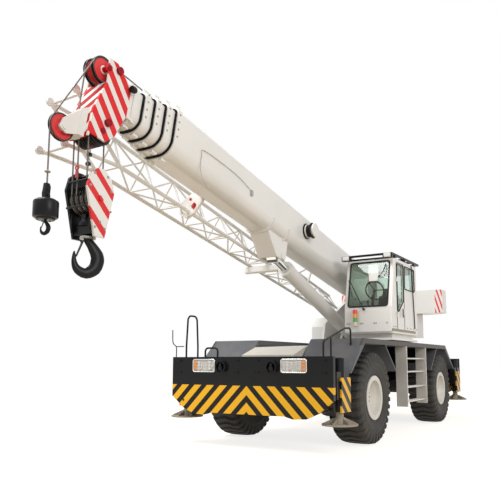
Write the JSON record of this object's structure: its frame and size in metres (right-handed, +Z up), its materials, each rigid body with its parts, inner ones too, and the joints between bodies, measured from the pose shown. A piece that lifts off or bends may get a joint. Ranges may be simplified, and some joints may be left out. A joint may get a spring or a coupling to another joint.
{
  "type": "rough-terrain mobile crane",
  "caption": "Four-wheeled mobile crane with a telescopic boom, stowed lattice jib, hooks, slewing cab and outriggers.",
  "frame": {"origin": "on the ground under the middle of the machine's whole length and width", "axes": "+X forward along the carrier, +Y to its left, +Z up"},
  "size_m": [12.1806, 3.5298, 5.1003],
  "materials": {
    "black_paint": "satin",
    "hood_paint": "satin",
    "lamp_lens": "gloss",
    "grey_steel": "satin",
    "white_paint": "gloss",
    "chrome_rod": "polished",
    "clear_glass": "clear",
    "red_paint": "satin",
    "beacon_plastic": "gloss",
    "rubber_tyre": "matte",
    "tan_steel": "worn"
  },
  "bodies": {
    "carrier": {"chassis": "black_paint", "deck_and_fenders": "black_paint", "front_hood": "hood_paint", "engine_block": "black_paint", "front_outrigger_box": "black_paint", "rear_outrigger_box": "black_paint", "headlamps": "lamp_lens", "front_axle": "black_paint", "rear_axle": "black_paint", "side_steps": "grey_steel", "slewing_ring": "black_paint", "handrails": "black_paint"},
    "superstructure": {"turntable": "white_paint", "counterweight": "white_paint", "winches": "black_paint", "cab_shell": "white_paint", "cab_glass": "clear_glass", "operator_seat": "black_paint", "cab_console": "black_paint", "cab_guard": "black_paint", "beacon_tower": "beacon_plastic"},
    "cab_door": {"cab_door": "white_paint", "door_glass": "clear_glass"},
    "boom": {"boom_base": "white_paint", "hoist_ropes": "grey_steel", "stowed_jib": "white_paint"},
    "boom_section_2": {"boom_section_2": "white_paint"},
    "boom_section_3": {"boom_section_3": "white_paint"},
    "boom_section_4": {"boom_section_4": "white_paint"},
    "boom_section_5": {"boom_section_5": "white_paint", "head_sheaves": "red_paint"},
    "main_hook": {"hook_block": "black_paint", "main_hook": "black_paint", "main_falls": "grey_steel"},
    "aux_hook": {"aux_hook": "black_paint", "aux_fall": "grey_steel"},
    "ram_barrel": {"luffing_barrel": "white_paint"},
    "ram_rod": {"luffing_rod": "chrome_rod"},
    "front_left_knuckle": {"front_left_knuckle": "black_paint"},
    "front_left_wheel": {"front_left_rim": "white_paint", "front_left_tyre": "rubber_tyre"},
    "front_right_knuckle": {"front_right_knuckle": "black_paint"},
    "front_right_wheel": {"front_right_rim": "white_paint", "front_right_tyre": "rubber_tyre"},
    "rear_left_knuckle": {"rear_left_knuckle": "black_paint"},
    "rear_left_wheel": {"rear_left_rim": "white_paint", "rear_left_tyre": "rubber_tyre"},
    "rear_right_knuckle": {"rear_right_knuckle": "black_paint"},
    "rear_right_wheel": {"rear_right_rim": "white_paint", "rear_right_tyre": "rubber_tyre"},
    "front_left_outrigger": {"front_left_outrigger_beam": "black_paint"},
    "front_left_jack": {"front_left_jack": "tan_steel"},
    "front_right_outrigger": {"front_right_outrigger_beam": "black_paint"},
    "front_right_jack": {"front_right_jack": "tan_steel"},
    "rear_left_outrigger": {"rear_left_outrigger_beam": "black_paint"},
    "rear_left_jack": {"rear_left_jack": "tan_steel"},
    "rear_right_outrigger": {"rear_right_outrigger_beam": "black_paint"},
    "rear_right_jack": {"rear_right_jack": "tan_steel"}
  },
  "joints": [
    {"name": "slewing", "type": "hinge", "parent": "carrier", "child": "superstructure", "pos_m": [-2.04035, 0, 1.84], "axis": [0, 0, 1], "continuous": true},
    {"name": "cab_door_swing", "type": "hinge", "parent": "superstructure", "child": "cab_door", "pos_m": [-1.04235, 1.569, 2], "axis": [0, 0, -1], "range_deg": [0, 80]},
    {"name": "luffing", "type": "hinge", "parent": "superstructure", "child": "boom", "pos_m": [-3.54035, 0, 2.72], "axis": [0, -1, 0], "range_deg": [-10.4, 69.6]},
    {"name": "ram_swing", "type": "hinge", "parent": "superstructure", "child": "ram_barrel", "pos_m": [-2.44035, 0, 2.005], "axis": [0, -1, 0], "range_deg": [-10.7, 71.1]},
    {"name": "ram_stroke", "type": "slide", "parent": "ram_barrel", "child": "ram_rod", "axis": [0.9391, 0, 0.3436], "range_m": [-0.2279, 1.5194]},
    {"name": "telescope_2", "type": "slide", "parent": "boom", "child": "boom_section_2", "axis": [0.9836, 0, 0.1805], "range_m": [0, 5.2]},
    {"name": "telescope_3", "type": "slide", "parent": "boom_section_2", "child": "boom_section_3", "axis": [0.9836, 0, 0.1805], "range_m": [0, 5.2]},
    {"name": "telescope_4", "type": "slide", "parent": "boom_section_3", "child": "boom_section_4", "axis": [0.9836, 0, 0.1805], "range_m": [0, 5.2]},
    {"name": "telescope_5", "type": "slide", "parent": "boom_section_4", "child": "boom_section_5", "axis": [0.9836, 0, 0.1805], "range_m": [0, 5.2]},
    {"name": "main_hook_swing", "type": "hinge", "parent": "boom_section_5", "child": "main_hook", "pos_m": [5.36002, 0, 4.1207], "axis": [0, -1, 0], "range_deg": [-69.6, 10.4]},
    {"name": "aux_hook_swing", "type": "hinge", "parent": "boom_section_5", "child": "aux_hook", "pos_m": [5.81005, 0, 4.0396], "axis": [0, -1, 0], "range_deg": [-69.6, 10.4]},
    {"name": "front_left_steer", "type": "hinge", "parent": "carrier", "child": "front_left_knuckle", "pos_m": [0.15965, 0.86, 0.8], "axis": [0, 0, 1], "range_deg": [-26, 26]},
    {"name": "front_left_spin", "type": "hinge", "parent": "front_left_knuckle", "child": "front_left_wheel", "pos_m": [0.15965, 1.24, 0.8], "axis": [0, 1, 0], "continuous": true},
    {"name": "front_right_steer", "type": "hinge", "parent": "carrier", "child": "front_right_knuckle", "pos_m": [0.15965, -0.86, 0.8], "axis": [0, 0, 1], "range_deg": [-26, 26]},
    {"name": "front_right_spin", "type": "hinge", "parent": "front_right_knuckle", "child": "front_right_wheel", "pos_m": [0.15965, -1.24, 0.8], "axis": [0, 1, 0], "continuous": true},
    {"name": "rear_left_steer", "type": "hinge", "parent": "carrier", "child": "rear_left_knuckle", "pos_m": [-4.24035, 0.86, 0.8], "axis": [0, 0, 1], "range_deg": [-26, 26]},
    {"name": "rear_left_spin", "type": "hinge", "parent": "rear_left_knuckle", "child": "rear_left_wheel", "pos_m": [-4.24035, 1.24, 0.8], "axis": [0, 1, 0], "continuous": true},
    {"name": "rear_right_steer", "type": "hinge", "parent": "carrier", "child": "rear_right_knuckle", "pos_m": [-4.24035, -0.86, 0.8], "axis": [0, 0, 1], "range_deg": [-26, 26]},
    {"name": "rear_right_spin", "type": "hinge", "parent": "rear_right_knuckle", "child": "rear_right_wheel", "pos_m": [-4.24035, -1.24, 0.8], "axis": [0, 1, 0], "continuous": true},
    {"name": "front_left_outrigger_slide", "type": "slide", "parent": "carrier", "child": "front_left_outrigger", "axis": [0, 1, 0], "range_m": [0, 1.55]},
    {"name": "front_left_jack_drop", "type": "slide", "parent": "front_left_outrigger", "child": "front_left_jack", "axis": [0, 0, -1], "range_m": [0, 0.45]},
    {"name": "front_right_outrigger_slide", "type": "slide", "parent": "carrier", "child": "front_right_outrigger", "axis": [0, -1, 0], "range_m": [0, 1.55]},
    {"name": "front_right_jack_drop", "type": "slide", "parent": "front_right_outrigger", "child": "front_right_jack", "axis": [0, 0, -1], "range_m": [0, 0.45]},
    {"name": "rear_left_outrigger_slide", "type": "slide", "parent": "carrier", "child": "rear_left_outrigger", "axis": [0, 1, 0], "range_m": [0, 1.55]},
    {"name": "rear_left_jack_drop", "type": "slide", "parent": "rear_left_outrigger", "child": "rear_left_jack", "axis": [0, 0, -1], "range_m": [0, 0.45]},
    {"name": "rear_right_outrigger_slide", "type": "slide", "parent": "carrier", "child": "rear_right_outrigger", "axis": [0, -1, 0], "range_m": [0, 1.55]},
    {"name": "rear_right_jack_drop", "type": "slide", "parent": "rear_right_outrigger", "child": "rear_right_jack", "axis": [0, 0, -1], "range_m": [0, 0.45]}
  ],
  "couplings": [
    {"joint": "ram_swing", "follows": "luffing", "ratio": 1.02},
    {"joint": "ram_stroke", "follows": "luffing", "m_per_rad": 1.25},
    {"joint": "main_hook_swing", "follows": "luffing", "ratio": -1},
    {"joint": "aux_hook_swing", "follows": "luffing", "ratio": -1},
    {"joint": "telescope_3", "follows": "telescope_2", "ratio": 1},
    {"joint": "telescope_4", "follows": "telescope_2", "ratio": 1},
    {"joint": "telescope_5", "follows": "telescope_2", "ratio": 1},
    {"joint": "front_right_steer", "follows": "front_left_steer", "ratio": 1},
    {"joint": "rear_right_steer", "follows": "rear_left_steer", "ratio": 1}
  ]
}
